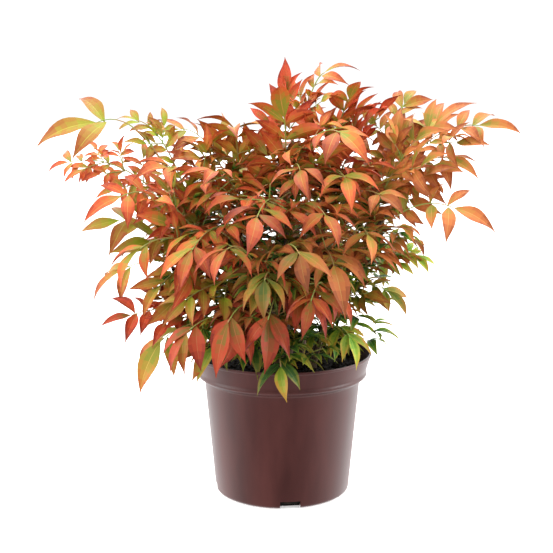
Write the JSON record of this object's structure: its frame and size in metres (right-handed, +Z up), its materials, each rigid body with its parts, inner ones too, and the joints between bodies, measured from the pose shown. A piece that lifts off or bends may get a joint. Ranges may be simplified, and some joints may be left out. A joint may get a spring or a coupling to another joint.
{
  "type": "potted heavenly bamboo",
  "caption": "Small evergreen shrub of thin upright canes with arching sprays of narrow pointed leaflets, red, orange and green, in a plain tapered plastic nursery pot filled with compost.",
  "frame": {"origin": "middle of the pot's flat underside", "axes": "+Z up, -Y towards the plant's lit side, +X to the right as seen from that side"},
  "size_m": [0.4959, 0.4076, 0.4581],
  "materials": {
    "pot": "satin",
    "compost": "loose and fibrous",
    "cane": "ribbed bark",
    "leaf_lime": "satin leaf",
    "leaf_coral": "satin leaf",
    "leaf_gold": "satin leaf",
    "leaf_red": "satin leaf",
    "leaf_orange": "satin leaf",
    "leaf_rust": "satin leaf",
    "leaf_green": "satin leaf",
    "leaf_olive": "satin leaf"
  },
  "bodies": {
    "root": {"pot": "pot", "compost": "compost", "cane_1": "cane", "cane_2": "cane", "cane_3": "cane", "cane_4": "cane", "cane_5": "cane", "cane_6": "cane", "cane_7": "cane", "frond_left_1": "leaf_lime", "frond_left_2": "leaf_lime", "frond_left_3": "leaf_coral", "frond_left_4": "leaf_coral", "frond_left_5": "leaf_lime", "frond_left_6": "leaf_coral", "frond_left_7": "leaf_gold", "frond_left_8": "leaf_red", "frond_left_9": "leaf_gold", "frond_left_10": "leaf_lime", "frond_left_11": "leaf_red", "frond_upper_1": "leaf_gold", "frond_upper_2": "leaf_orange", "frond_upper_3": "leaf_red", "frond_upper_4": "leaf_coral", "frond_upper_5": "leaf_gold", "frond_upper_6": "leaf_orange", "frond_upper_7": "leaf_coral", "frond_upper_8": "leaf_red", "frond_upper_9": "leaf_orange", "frond_right_1": "leaf_gold", "frond_right_2": "leaf_rust", "frond_right_3": "leaf_rust", "frond_right_4": "leaf_rust", "frond_right_5": "leaf_rust", "frond_right_6": "leaf_green", "frond_right_7": "leaf_olive", "frond_front_1": "leaf_coral", "frond_front_2": "leaf_coral", "frond_front_3": "leaf_olive", "frond_front_4": "leaf_rust", "frond_front_5": "leaf_coral", "frond_front_6": "leaf_red", "frond_front_7": "leaf_green", "frond_front_8": "leaf_coral", "frond_front_9": "leaf_red", "frond_middle_1": "leaf_orange", "frond_middle_2": "leaf_orange", "frond_middle_3": "leaf_coral", "frond_middle_4": "leaf_rust", "frond_middle_5": "leaf_orange", "frond_middle_6": "leaf_rust", "frond_middle_7": "leaf_rust", "frond_low_1": "leaf_green", "frond_low_2": "leaf_green", "frond_back_1": "leaf_orange", "frond_back_2": "leaf_coral", "frond_back_3": "leaf_rust", "frond_back_4": "leaf_gold", "frond_back_5": "leaf_orange", "frond_back_6": "leaf_green"}
  },
  "joints": []
}
